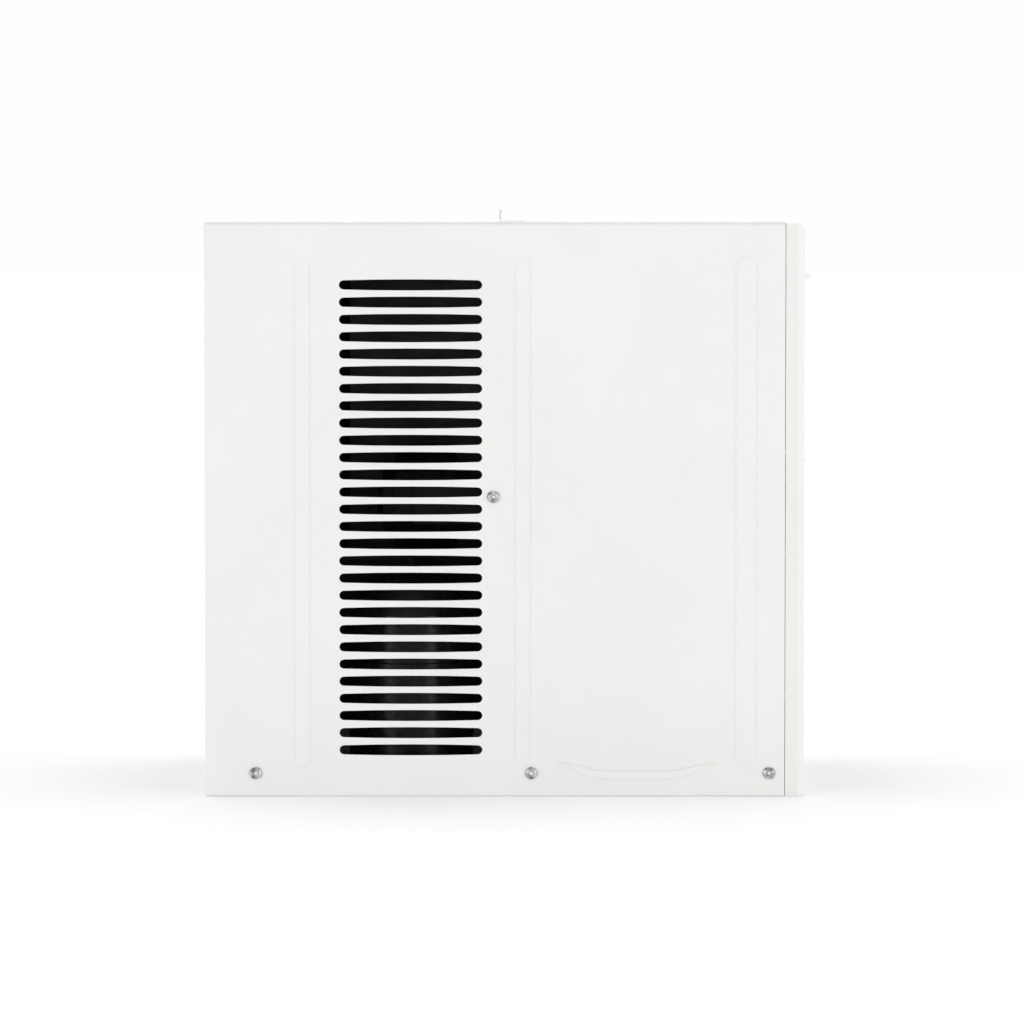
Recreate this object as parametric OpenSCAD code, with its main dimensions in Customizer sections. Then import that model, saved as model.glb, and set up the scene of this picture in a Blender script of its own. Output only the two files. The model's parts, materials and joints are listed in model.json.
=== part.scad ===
// Tall, narrow window-mounted room unit with a fan-driven electric heater and a cooling circuit.
// Frame: origin on the base underside, +Z up, the room-side front faces -Y, millimetres.

/* [Cabinet] */
// Width over the side walls of the cabinet
body_w = 380; // [376:2:390]
// Height of the cabinet, without the top rail
body_h = 530; // [528:1:536]
// Depth of the sheet-metal cabinet, without the front bezel
cabinet_d = 535.6; // [532:0.4:540]
// Thickness of the sheet metal
sheet = 1.2; // [1:0.1:1.4]
// How far the pressed beads stand out of the walls
bead_h = 1.2; // [0.6:0.1:1.2]

/* [Side louvres] */
// Number of louvre slots in the left side wall
slot_count = 28; // [20:1:28]
// Distance from slot to slot
slot_pitch = 15.91; // [15:0.01:16]
// Length of a slot
slot_l = 132; // [100:1:136]
// Height of a slot at its middle
slot_h = 10.2; // [8:0.1:10.4]
// Height of a slot at its ends
slot_end_h = 8.5; // [7:0.1:8.6]

/* [Front] */
// Depth of the moulded front bezel
bezel_d = 17.5; // [16.8:0.1:17.6]
// Gap between the cabinet and the bezel
seam = 0.5; // [0.4:0.1:1.6]
// Wall thickness of the moulded front parts
wall = 2.5; // [2:0.1:2.6]
// Radius of the bezel's top, left and right front edges
bezel_r = 7.5; // [5:0.5:8]
// Radius of its bottom front edge
bezel_foot_r = 3; // [2:0.5:5]
// Radius of the control knobs
knob_r = 18; // [15:0.5:19]
// Distance between the horizontal vanes
vane_pitch = 24; // [23:0.5:24]

/* [Air handling] */
// Height of the fan axis above the base
fan_z = 265; // [260:1:268]
// Outer radius of the blower wheel
wheel_r = 90; // [80:1:92]
// Number of blades on the blower wheel
wheel_blades = 36; // [24:2:40]
// Outer radius of the condenser fan
fan_r = 138; // [120:1:140]

/* [Cooling circuit] */
// Number of fins drawn in each coil
fin_count = 24; // [12:1:26]
// Radius of the coil tubes
tube_r = 4.8; // [4:0.1:5]
// Radius of the compressor shell
compressor_r = 58; // [50:1:58]

/* [Hidden] */
$fn = 48;
eps = 0.01;
run_gap = 0.05;          // radial clearance of a turning shaft in its bore
half_w = body_w / 2;
y_rear = (cabinet_d + seam + bezel_d) / 2;
y_face = -y_rear;        // front face of the bezel
y_seam = y_rear - cabinet_d;
y_bezel = y_seam - seam; // rear edge of the bezel
rear_inset = 4;           // how far the rear flange stands inside the edge
y_flange = y_rear - rear_inset;
white = "#f1f1ef";
moulded = "#f3f3f0";
zinc = "#b9bcbe";
black = "#1c1d1e";
copper = "#b8703f";
alu = "#c9cdd0";

// Side wall features, as distances along Y and heights
bead_y = [186.7, -16.9, -223];   // middles of the pressed beads
bead_w = [15.5, 15.5, 21];       // their widths
bead_z = [27, 498];              // their lowest and highest points
slot_y = 86.6;                   // middle of the louvre slots
slot_z = 42.8;                   // middle of the lowest slot
side_screws = [[230, 21.2], [-24.7, 21.2], [-244.5, 21.2], [10.3, 277]];
rear_screws = [[-181, 60], [181, 60], [-181, 480], [181, 480]];
screw_r = 5.6;
screw_hole_r = 2.3;
pan_h = 34;
rail_t = 2;                      // thickness of the sash angle
rail_hole_y = -9;
rail_hole_x = [-120, 0, 120];
flat_head_r = 4.2;

// Front openings, as heights
outlet_z = [396, 495];
panel_z = [322, 388];
intake_z = [11, 307];
opening_x = 170;
outlet_x = 160;
hinge_y = y_face + 6.3;
hinge_z = 300;
grille_r = 6.3;
grille_y = y_face + 9.4;         // back of the intake grille
lip = 3;

// Controls
mode_x = -40;
thermo_x = 60;
vent_x = 150;
control_z = 355;
dish_y = y_face + 10.2;          // floor of the knob dishes
knob_y = y_face - 7.5;           // outer end of the knobs
switch_y = y_face + 15;          // front of the switch bodies

// Vanes in the outlet
vane_top = 479.4;
vane_count = 4;
vane_x = 152;                    // half length of a vane
vane_y = y_face + 9;             // pivot line
vane_crank = 8;
tab_out = 20.5;                  // how far the handle tab stands out of the face
tab_half = 2.6;                  // half its thickness
deflector_count = 6;
deflector_pitch = 50;
deflector_y = y_face + 38.8;
deflector_crank = 10;

// Lines that divide the inside
bulkhead_y = [0, 3];
scroll_y = [-96, -10];
duct_y = [-256, -98.5];
duct_z = [394, 502];
duct_x = 164;
evap_y = [-252, -216];
evap_z = [26, 292];
cond_y = [226, 264];
cond_z = [16, 506];
coil_x = 158;
row_pitch = 20;
shroud_y = [214, 216];
shaft_r = 4;
comp = [-95, 88];                // compressor axis, X and Y
comp_z = [21, 205];
acc = [-18, 60];                 // accumulator axis
vent_hinge_z = control_z + 24;

// ---- Shapes that repeat ----

// Extrudes a drawing in X and Z along Y, from y0 to y1
module along_y(y0, y1) {
    translate([0, y1, 0]) rotate([90, 0, 0]) linear_extrude(y1 - y0) children();
}

// Extrudes a drawing in Y and Z along X, from x0 to x1
module along_x(x0, x1) {
    translate([x0, 0, 0]) rotate([90, 0, 90]) linear_extrude(x1 - x0) children();
}

module along_z(z0, z1) {
    translate([0, 0, z0]) linear_extrude(z1 - z0) children();
}

// A block between two corners
module block(low, high) {
    translate(low) cube(high - low);
}

module rect(u0, v0, u1, v1) {
    translate([u0, v0]) square([u1 - u0, v1 - v0]);
}

module rod_x(x0, x1, y, z, r) {
    translate([x0, y, z]) rotate([0, 90, 0]) cylinder(h = x1 - x0, r = r);
}

module rod_y(y0, y1, x, z, r) {
    translate([x, y1, z]) rotate([90, 0, 0]) cylinder(h = y1 - y0, r = r);
}

module rod_z(z0, z1, x, y, r) {
    translate([x, y, z0]) cylinder(h = z1 - z0, r = r);
}

// A flat rectangle with round corners
module round_rect(u0, v0, u1, v1, r) {
    rect(u0 + r, v0, u1 - r, v1);
    rect(u0, v0 + r, u1, v1 - r);
    for (u = [u0 + r, u1 - r], v = [v0 + r, v1 - r]) translate([u, v]) circle(r);
}

// A long hole or pad with round ends, standing along the second axis
module stadium(u, v0, v1, w) {
    rect(u - w / 2, v0 + w / 2, u + w / 2, v1 - w / 2);
    for (v = [v0 + w / 2, v1 - w / 2]) translate([u, v]) circle(d = w);
}

// Half a ring of tube: a return bend from one tube to the next, bulging along +X
module return_bend(from, to, r) {
    mid = (from + to) / 2;
    span = to - from;
    translate(mid) rotate([atan2(span[2], span[1]), 0, 0]) rotate([0, 0, -90])
        rotate_extrude(angle = 180) translate([norm(span) / 2, 0]) circle(r);
}

// ---- Swept pipes ----

// A polyline with its corners rounded by short curves
function rounded(p, r, steps = 5) = concat([p[0]], [
    for (i = [1 : len(p) - 2])
        let (a = p[i] + r * unit(p[i - 1] - p[i]), b = p[i] + r * unit(p[i + 1] - p[i]))
            for (k = [0 : steps]) let (t = k / steps)
                (1 - t) * (1 - t) * a + 2 * t * (1 - t) * p[i] + t * t * b
], [p[len(p) - 1]]);
function unit(v) = v / norm(v);
function tangent(p, i) = unit(p[min(i + 1, len(p) - 1)] - p[max(i - 1, 0)]);
function carried(side, t) = unit(side - (side * t) * t);
function sides(p, i, side) = i == len(p) ? [] :
    let (s = carried(side, tangent(p, i))) concat([s], sides(p, i + 1, s));

module swept(path, r, n = 10) {
    t0 = tangent(path, 0);
    first = cross(t0, abs(t0[2]) > 0.9 ? [1, 0, 0] : [0, 0, 1]);
    s = sides(path, 0, unit(first));
    rings = [for (i = [0 : len(path) - 1]) for (k = [0 : n - 1])
        let (c = cross(tangent(path, i), s[i]), a = 360 * k / n)
            path[i] + r * (cos(a) * s[i] + sin(a) * c)];
    last = (len(path) - 1) * n;
    walls = [for (i = [0 : len(path) - 2]) for (k = [0 : n - 1]) let (m = (k + 1) % n)
        [i * n + k, (i + 1) * n + k, (i + 1) * n + m, i * n + m]];
    caps = [[for (k = [0 : n - 1]) k], [for (k = [n - 1 : -1 : 0]) last + k]];
    polyhedron(points = rings, faces = concat(walls, caps), convexity = 8);
}

// ---- Cabinet ----

// Half of the outline of a louvre slot: a round end and a bowed edge
function slot_half(side) = concat(
    [for (a = [-90 : 22.5 : 90]) side * [slot_l / 2 - slot_end_h / 2 + slot_end_h / 2 * cos(a),
                                         slot_end_h / 2 * sin(a)]],
    [side * [slot_l / 4, slot_h / 2 - (slot_h - slot_end_h) / 8], side * [0, slot_h / 2],
     side * [-slot_l / 4, slot_h / 2 - (slot_h - slot_end_h) / 8]]);

module louvre_slots() {
    for (i = [0 : slot_count - 1])
        translate([slot_y, slot_z + i * slot_pitch]) polygon(concat(slot_half(1), slot_half(-1)));
}

// Outline of the shallow crescent pressed low in the side wall, grown outwards by a margin: a flat middle
// that sweeps up to a tip at each end
crescent_half = 72;
function smooth(t) = let (c = min(max(t, 0), 1)) c * c * (3 - 2 * c);
function crescent_edge(u) = 23 + 7.8 * smooth((abs(u) - 30) / 42);
function crescent_h(u) = 0.6 + 6.4 * smooth((crescent_half - abs(u)) / 26);
sweep = [for (k = [0 : 5]) 0.41 + k * 0.118];      // steps along each end, as shares of its reach
function crescent_line(grow) = let (r = crescent_half + 1.5 * grow,
                                    u = concat([for (k = [5 : -1 : 0]) -r * sweep[k]], r * sweep)) concat(
    [for (k = [0 : 11]) [u[k], crescent_edge(u[k]) + grow / 2]],
    [for (k = [11 : -1 : 0]) [u[k], crescent_edge(u[k]) - crescent_h(u[k]) - grow]]);

// The crescent in three low steps, standing out along +X
module crescent() {
    mid = -122.5;
    step = 0.25;
    for (k = [1 : 3]) along_x(-0.1, k * step) polygon([
        for (p = crescent_line(1.4 - k * 0.5)) [mid + p[0], p[1]]]);
}

module bead_pads(shrink) {
    for (i = [0 : 2]) stadium(bead_y[i], bead_z[0] + shrink, bead_z[1] - shrink, bead_w[i] - 2 * shrink);
}

cord_y = -196;
cord_z = 90;
cord_hole_r = 9;

// A pressed bead with sloping sides and round ends, standing out along +X
module bead(i) {
    w = bead_w[i];
    slope = 1.9;
    low = bead_z[0] + w / 2;
    high = bead_z[1] - w / 2;
    translate([0, bead_y[i], 0]) {
        along_z(low, high) polygon([[-0.1, -w / 2 - 0.24], [bead_h, -w / 2 + slope - 0.24],
                                    [bead_h, w / 2 - slope + 0.24], [-0.1, w / 2 + 0.24]]);
        for (z = [low, high]) translate([-0.1, 0, z]) rotate([0, 90, 0])
            cylinder(h = bead_h + 0.1, r1 = w / 2 + 0.24, r2 = w / 2 - slope + 0.24);
    }
}

module side_cuts() {
    along_x(-half_w - 3, -half_w + 3) {
        louvre_slots();
        for (s = side_screws) translate(s) circle(screw_hole_r);
    }
    along_x(half_w - 3, half_w + 3) {
        for (s = side_screws) translate(s) circle(screw_hole_r);
        translate([cord_y, cord_z]) circle(cord_hole_r);
    }
}

// Outline of the folded sheet: left wall, top and right wall
module folded_outline() {
    r = 4;
    difference() {
        round_rect(-half_w, -20, half_w, body_h, r);
        round_rect(-half_w + sheet, -30, half_w - sheet, body_h - sheet, r - sheet);
        rect(-half_w - 1, -40, half_w + 1, 0);
    }
}

// One folded sheet with a return flange round the back
module cabinet_wrapper() {
    color(white) difference() {
        union() {
            along_y(y_seam, y_rear) folded_outline();
            for (i = [0 : 2], m = [0, 1]) mirror([m, 0, 0]) translate([half_w, 0, 0]) bead(i);
            for (m = [0, 1]) mirror([m, 0, 0]) translate([half_w, 0, 0]) crescent();
            along_y(y_flange - sheet, y_flange) difference() {
                rect(-half_w + 0.6, 0, half_w - 0.6, body_h - 0.6);
                rect(-half_w + 14, -1, half_w - 14, body_h - 14);
                translate([-half_w, body_h]) rotate(45) rect(-3, -2, 3, 2);
                translate([half_w, body_h]) rotate(45) rect(-2, -3, 2, 3);
            }
        }
        side_cuts();
        for (p = rear_screws) rod_y(y_flange - 3, y_flange + 1, p[0], p[1], screw_hole_r);
        for (x = rail_hole_x) rod_z(body_h - 3, body_h + 1, x, rail_hole_y, 2.1);
        for (m = [0, 1]) mirror([m, 0, 0]) along_x(half_w - sheet - 1, half_w - 0.2) bead_pads(sheet);
        for (y = [150, -150]) along_z(body_h - 0.6, body_h + 1)
            translate([0, y]) rotate(90) stadium(0, -140, 140, 12);
    }
}

// The tray that everything stands in
module base_pan() {
    x = half_w - sheet - 0.4;
    front = y_seam + 0.8;
    rear = y_flange - 3.2;
    color(zinc) difference() {
        union() {
            along_z(0, pan_h) difference() {
                rect(-x, front, x, rear);
                rect(-x + sheet, front + sheet, x - sheet, rear - sheet);
            }
            block([-x, front, 0], [x, rear, sheet]);
            along_z(sheet - eps, 4) for (y = [-150, 180]) round_rect(-100, y - 9, 100, y + 9, 8);
        }
        block([-x + 14, front - 1, 18], [x - 14, front + sheet + eps, pan_h + 1]);
        for (x = [-120, 120], y = [-190, 200]) rod_z(-1, sheet + 1, x, y, 3.2);
        for (s = side_screws) if (s[1] < pan_h) rod_x(-half_w, half_w, s[0], s[1], screw_hole_r);
    }
}

// Angle that the window sash closes behind
module top_rail() {
    color(white) difference() {
        along_x(-half_w + 8, half_w - 8) {
            rect(-19.5, body_h, 5, body_h + rail_t);
            rect(5 - rail_t, body_h, 5, body_h + 12);
        }
        for (x = rail_hole_x) translate([x, rail_hole_y, body_h]) {
            translate([0, 0, -1]) cylinder(h = 4, r = 2.1);
            cylinder(h = rail_t + eps, r1 = 2.2, r2 = flat_head_r + 0.1);
        }
    }
}

// A pan-head screw along +Z with a cross recess, its head's underside at the origin
module pan_screw(shank) {
    head = 2.8;
    difference() {
        union() {
            cylinder(h = head - 0.8, r = screw_r);
            translate([0, 0, head - 0.8]) cylinder(h = 0.8, r1 = screw_r, r2 = screw_r - 1.6);
            translate([0, 0, -shank]) cylinder(h = shank + eps, r = 2);
        }
        for (a = [0, 90]) rotate(a) translate([-2.9, -0.6, head - 1.7]) cube([5.8, 1.2, 3]);
    }
}

module cabinet_screws() {
    color(zinc) {
        for (s = side_screws) {
            translate([half_w, s[0], s[1]]) rotate([0, 90, 0]) pan_screw(6);
            translate([-half_w, s[0], s[1]]) rotate([0, -90, 0]) pan_screw(6);
        }
        for (p = rear_screws) translate([p[0], y_flange, p[1]]) rotate([-90, 0, 0]) pan_screw(6);
    }
}

// A countersunk screw along +Z, its head flush with the origin
module flat_screw(shank) {
    difference() {
        union() {
            translate([0, 0, -rail_t]) cylinder(h = rail_t, r1 = 2, r2 = flat_head_r);
            translate([0, 0, -shank]) cylinder(h = shank - 1, r = 2);
        }
        for (a = [0, 90]) rotate(a) translate([-2.4, -0.5, -1]) cube([4.8, 1, 3]);
    }
}

module rail_screws() {
    color(zinc) for (x = rail_hole_x) translate([x, rail_hole_y, body_h + rail_t - 0.05]) flat_screw(8);
}

// Slotted sheet that covers the outdoor coil
module rear_guard() {
    color(white) along_y(y_flange - 2.6, y_flange - sheet - 0.2) difference() {
        rect(-half_w + 3, 4, half_w - 3, body_h - 3);
        for (i = [-11.5 : 11.5], row = [0 : 2])
            stadium(i * 13.6, 22 + row * 166, 22 + row * 166 + 152, 8.4);
        for (p = rear_screws) translate(p) circle(screw_hole_r);
    }
}

// Cable entry in the right wall
module cord_bushing() {
    color(black) translate([half_w, cord_y, cord_z]) rotate([0, 90, 0]) difference() {
        union() {
            translate([0, 0, -9]) cylinder(h = 10, r = cord_hole_r - 0.1);
            cylinder(h = 2.4, r = 12);
            translate([0, 0, 2.4 - eps]) cylinder(h = 5.6, r1 = 8.4, r2 = 6.6);
        }
        translate([0, 0, -10]) cylinder(h = 20, r = 4);
    }
}

// ---- Front ----

// Side view of the bezel, with its round front edges
module bezel_side(inset) {
    middle = body_h / 2;
    intersection() {
        union() {
            round_rect(y_face + inset, middle - 20, y_bezel + 40, body_h - 1 - inset, bezel_r - inset / 2);
            round_rect(y_face + inset, inset, y_bezel + 40, middle + 20, bezel_foot_r - inset / 2);
        }
        rect(y_face, 0, y_bezel, body_h);
    }
}

module bezel_plan(inset) {
    intersection() {
        round_rect(-half_w + inset, y_face + inset, half_w - inset, y_bezel + 40, bezel_r - inset / 2);
        rect(-half_w, y_face, half_w, y_bezel);
    }
}

module bezel_form(inset) {
    intersection() {
        along_x(-half_w, half_w) bezel_side(inset);
        along_z(0, body_h) bezel_plan(inset);
    }
}

module front_bezel() {
    color(moulded) union() {
        difference() {
            bezel_form(0);
            bezel_form(wall);
            block([-half_w + wall, y_bezel - 1, wall], [half_w - wall, y_bezel + 1, body_h - 1 - wall]);
            block([-outlet_x, y_face - 1, outlet_z[0]], [outlet_x, y_face + wall + 1, outlet_z[1]]);
            block([-opening_x + 5, y_face - 1, panel_z[0]], [opening_x - 5, y_face + wall + 1, panel_z[1]]);
            block([-opening_x, y_face - 1, intake_z[0]], [opening_x, y_face + wall + 1, intake_z[1] + 0.5]);
            block([half_w - 20, filter_y[0] - 0.8, filter_z[0] - 1], [half_w + 1, y_bezel + 1, filter_z[1] + 1]);
        }
        along_x(-opening_x + 4, opening_x - 4) polygon([
            [y_face + eps, 320], [y_face - lip, 310.2], [y_face - lip, 308.4], [y_face + eps, 307.9]]);
        for (z = [filter_z[0] - 3.4, filter_z[1] + 0.4])
            block([-half_w + wall - eps, filter_y[0] - 0.4, z], [half_w - wall + eps, y_bezel, z + 2.6]);
        for (s = [-1, 1]) difference() {
            block([s * 175 - 3.2, y_face + wall - eps, hinge_z - 6], [s * 175 + 3.2, hinge_y + 3.3, hinge_z + 14]);
            rod_x(s * 175 - 4, s * 175 + 4, hinge_y, hinge_z, 2 + run_gap);
        }
        for (s = [-1, 1]) difference() {
            block([s * (outlet_x + 2) - 2, y_face + wall - eps, outlet_z[0]], [s * (outlet_x + 2) + 2, y_bezel, outlet_z[1]]);
            for (i = [0 : vane_count - 1])
                rod_x(-outlet_x - 9, outlet_x + 9, vane_y, vane_top - i * vane_pitch, 2 + run_gap);
        }
    }
}

module control_panel() {
    y0 = y_face + 1.2;
    color(moulded) difference() {
        union() {
            block([-opening_x + 5.5, y0, panel_z[0] + 0.5], [opening_x - 5.5, y0 + wall, panel_z[1] - 0.5]);
            for (x = [mode_x, thermo_x]) rod_y(y0 + wall - eps, dish_y + 1.6, x, control_z, knob_r + 5.6);
        }
        for (x = [mode_x, thermo_x]) {
            rod_y(y0 - 1, dish_y, x, control_z, knob_r + 4);
            rod_y(dish_y - 1, dish_y + 3, x, control_z, 5);
        }
        rod_y(y0 - 1, y0 + wall + 1, vent_x, control_z, 2.4);
    }
}

// Knob with a grip bar across its face and a blind bore for its shaft
module control_knob(x) {
    color(moulded) difference() {
        union() {
            rod_y(knob_y + 9, dish_y - 0.6, x, control_z, knob_r);
            rod_y(knob_y + 7, knob_y + 9 + eps, x, control_z, knob_r - 1);
            block([x - 3.5, knob_y, control_z - knob_r + 2], [x + 3.5, knob_y + 7.5, control_z + knob_r - 2]);
        }
        rod_y(knob_y + 6, dish_y + 1, x, control_z, 3);
    }
}

module mode_knob() { control_knob(mode_x); }
module thermostat_knob() { control_knob(thermo_x); }

module control_shaft(x) {
    color(zinc) rod_y(knob_y + 6.2, switch_y + 6, x, control_z, 3 - run_gap);
}

module mode_shaft() { control_shaft(mode_x); }
module thermostat_shaft() { control_shaft(thermo_x); }

module mode_switch() {
    color("#d9d4c4") difference() {
        union() {
            block([mode_x - 18, switch_y, control_z - 18], [mode_x + 18, switch_y + 22, control_z + 18]);
            for (i = [-1.5 : 1.5]) block([mode_x + i * 9 - 2.5, switch_y + 22 - eps, control_z - 10],
                                         [mode_x + i * 9 + 2.5, switch_y + 30, control_z - 9]);
        }
        rod_y(switch_y - 1, switch_y + 8, mode_x, control_z, 3);
    }
}

module thermostat_body() {
    color(zinc) difference() {
        union() {
            block([thermo_x - 20, switch_y, control_z - 14], [thermo_x + 20, switch_y + 26, control_z + 14]);
            rod_y(switch_y + 26 - eps, switch_y + 34, thermo_x, control_z, 11);
        }
        rod_y(switch_y - 1, switch_y + 8, thermo_x, control_z, 3);
    }
}

// Open-fronted sheet box that carries the switches
module control_box() {
    box_y = [switch_y - 0.2 - sheet, -150];
    color(zinc) difference() {
        block([-120, box_y[0], panel_z[0]], [120, box_y[1], panel_z[1]]);
        block([-120 + sheet, box_y[0] + sheet, panel_z[0] + sheet], [120 - sheet, box_y[1] + 1, panel_z[1] - sheet]);
        for (x = [mode_x, thermo_x]) rod_y(box_y[0] - 1, box_y[0] + 3, x, control_z, 5);
    }
}

module run_capacitor() {
    color("#3b3f45") {
        rod_x(-110, -30, -175, control_z - 8, 20);
        for (y = [-180, -170]) block([-30, y - 1, control_z - 11], [-22, y + 1, control_z - 5]);
    }
}

// Louvred grille that swings up about its top edge
module intake_grille() {
    x = opening_x - 1;
    z0 = intake_z[0] + 0.8;
    slats = 22;
    color(moulded) difference() {
        union() {
            along_x(-x, x) intersection() {
                union() {
                    rect(y_face, hinge_z - 12, grille_y, hinge_z);
                    translate([hinge_y, hinge_z]) circle(grille_r);
                }
                rect(y_face, 0, grille_y, body_h);
            }
            along_x(-x, x) polygon([[y_face, 27], [y_face - 1.6, 16], [y_face - 1.6, 14],
                                    [y_face + 2.5, z0], [grille_y, z0], [grille_y, 27]]);
            for (s = [-1, 1]) block([s * (x - 6) - 6, y_face, 26.9], [s * (x - 6) + 6, grille_y, hinge_z - 11.9]);
            for (i = [0 : slats - 1]) along_x(-x + 11.9, x - 11.9) translate([0, 32 + i * 11.8])
                polygon([[y_face + 0.4, 0], [y_face + 0.4, 2.6], [grille_y - 0.6, 7.4], [grille_y - 0.6, 5.2]]);
            for (u = [-78, 0, 78]) block([u - 1.5, y_face + 4, 26.9], [u + 1.5, grille_y - 0.4, hinge_z - 11.9]);
        }
        for (s = [-1, 1]) rod_x(s * 167 - 4, s * 167 + 4, hinge_y, hinge_z, 2 + run_gap);
    }
}

module grille_hinge_pins() {
    color(zinc) for (s = [-1, 1]) rod_x(s * 171 - 6.8, s * 171 + 6.8, hinge_y, hinge_z, 2);
}

filter_y = [y_face + 10.4, y_face + 14.4];
filter_z = [15, 291];

module filter_frame() {
    x0 = -166;
    x1 = half_w - 0.6;
    color("#dfe3e4") difference() {
        union() {
            block([x0, filter_y[0], filter_z[0]], [x1, filter_y[1], filter_z[1]]);
            along_y(filter_y[0], filter_y[1]) intersection() {
                round_rect(half_w - 20, 126, half_w + 6.5, 180, 6);
                rect(half_w - 8, 120, half_w + 10, 190);
            }
        }
        for (i = [0 : 2], k = [0 : 3])
            block([x0 + 5 + i * 112, filter_y[0] - 1, filter_z[0] + 5 + k * 67.5],
                  [x0 + 5 + i * 112 + 108, filter_y[1] + 1, filter_z[0] + 5 + k * 67.5 + 63.5]);
    }
}

module filter_mesh() {
    color("#2d3134") for (i = [0 : 2], k = [0 : 3])
        block([-161 + i * 112 + 0.1, filter_y[0] + 1.6, filter_z[0] + 5.1 + k * 67.5],
              [-161 + i * 112 + 107.9, filter_y[0] + 2.2, filter_z[0] + 68.4 + k * 67.5]);
}

// ---- Outlet vanes ----

// A tapered slat with a pivot pin at each end and a crank pin for the link
module vane(i, with_tab) {
    z = vane_top - i * vane_pitch;
    color(moulded) union() {
        along_x(-vane_x, vane_x) polygon([
            [vane_y - 8.4, z - 0.9], [vane_y - 8.4, z + 0.9], [vane_y, z + 2.2],
            [vane_y + 11, z + 0.8], [vane_y + 11, z - 0.8], [vane_y, z - 2.2]]);
        rod_x(-vane_x - 11, vane_x + 11, vane_y, z, 2);
        rod_x(-vane_x - 6, -vane_x + 1, vane_y + vane_crank, z, 1.4);
        if (with_tab) along_z(z - tab_half, z + tab_half) {
            rect(-13, y_face - tab_out + 6, 13, vane_y - 6);
            translate([0, y_face - tab_out + 6]) rect(-7, -6, 7, 1);
            for (s = [-1, 1]) translate([s * 7, y_face - tab_out + 6]) circle(6);
        }
    }
}

module vane_1() { vane(0, true); }
module vane_2() { vane(1, false); }
module vane_3() { vane(2, false); }
module vane_4() { vane(3, false); }

// Bar that keeps the four vanes parallel
module vane_link() {
    color(moulded) along_x(-vane_x - 5.4, -vane_x - 2.8) difference() {
        stadium(vane_y + vane_crank, vane_top - 3 * vane_pitch - 4, vane_top + 4, 6);
        for (i = [0 : vane_count - 1])
            translate([vane_y + vane_crank, vane_top - i * vane_pitch]) circle(1.4 + run_gap);
    }
}

function deflector_x(i) = (i - (deflector_count - 1) / 2) * deflector_pitch;

// An upright blade that turns left and right behind the vanes
module deflector(i) {
    x = deflector_x(i);
    z = [duct_z[0] + 7.5, duct_z[1] - 7.5];
    color(moulded) union() {
        along_z(z[0], z[1]) polygon([
            [x, deflector_y - 14], [x + 1.6, deflector_y], [x, deflector_y + 14], [x - 1.6, deflector_y]]);
        rod_z(duct_z[0] + 0.4, z[0] + 3, x, deflector_y, 1.5);
        rod_z(z[1] - 3, duct_z[1] - 0.4, x, deflector_y, 1.5);
        rod_z(duct_z[0] + 3, z[0] + 3, x, deflector_y - deflector_crank, 1.2);
    }
}

module deflector_1() { deflector(0); }
module deflector_2() { deflector(1); }
module deflector_3() { deflector(2); }
module deflector_4() { deflector(3); }
module deflector_5() { deflector(4); }
module deflector_6() { deflector(5); }

module deflector_link() {
    reach = deflector_x(deflector_count - 1) + 5;
    y = deflector_y - deflector_crank;
    color(moulded) difference() {
        union() {
            along_z(duct_z[0] + 4, duct_z[0] + 6.6) rect(-reach, y - 3, reach, y + 3);
            block([-1.6, y - 6, duct_z[0] + 4], [1.6, y + 2, duct_z[0] + 26]);
        }
        for (i = [0 : deflector_count - 1])
            rod_z(duct_z[0], duct_z[0] + 10, deflector_x(i), y, 1.2 + run_gap);
    }
}

// Square tube that carries the warm air forward
module discharge_duct() {
    color("#e4e6e6") difference() {
        block([-duct_x, duct_y[0], duct_z[0]], [duct_x, duct_y[1], duct_z[1]]);
        block([-duct_x + 2, duct_y[0] - 1, duct_z[0] + 2], [duct_x - 2, duct_y[1] + 1, duct_z[1] - 2]);
        for (i = [0 : deflector_count - 1])
            rod_z(duct_z[0] - 1, duct_z[1] + 1, deflector_x(i), deflector_y, 1.5 + run_gap);
    }
}

// ---- Heater ----

heater_y = -145;
heater_z = [for (i = [0 : 4]) duct_z[0] + 22 + i * 16];

module heater_frame() {
    color("#c8b88a") union() {
        for (s = [-1, 0, 1]) along_x(s * 134 - 1, s * 134 + 1) difference() {
            rect(heater_y - 15, duct_z[0] + 4, heater_y + 15, duct_z[1] - 4);
            for (z = heater_z) translate([heater_y, z]) circle(4.3);
        }
        for (z = [duct_z[0] + 2.4, duct_z[1] - 4.4])
            block([-158, heater_y - 15, z], [158, heater_y + 15, z + 2]);
    }
}

// Sheathed element that runs to and fro across the duct
module heater_element() {
    reach = 142;
    color("#4a4340") {
        for (z = heater_z) rod_x(z == heater_z[0] ? -160 : -reach, z == heater_z[4] ? 160 : reach, heater_y, z, 4);
        for (i = [0 : 3]) {
            s = i % 2 == 0 ? 1 : -1;
            translate([s * reach, heater_y, (heater_z[i] + heater_z[i + 1]) / 2])
                rotate([90, 0, 0]) rotate([0, 0, s > 0 ? -90 : 90])
                    rotate_extrude(angle = 180) translate([8, 0]) circle(4);
        }
    }
}

module thermal_cutout() {
    color(zinc) {
        translate([60, heater_y, duct_z[1] + 0.2]) cylinder(h = 8, r = 9);
        for (s = [-1, 1]) block([60 + s * 5 - 2, heater_y - 0.5, duct_z[1] + 8.2],
                                [60 + s * 5 + 2, heater_y + 0.5, duct_z[1] + 15]);
    }
}

// ---- Coils ----

function coil_rows(z, n) = [for (k = [0 : n - 1]) z[0] + (z[1] - z[0]) * (k + 0.5) / n];

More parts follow.
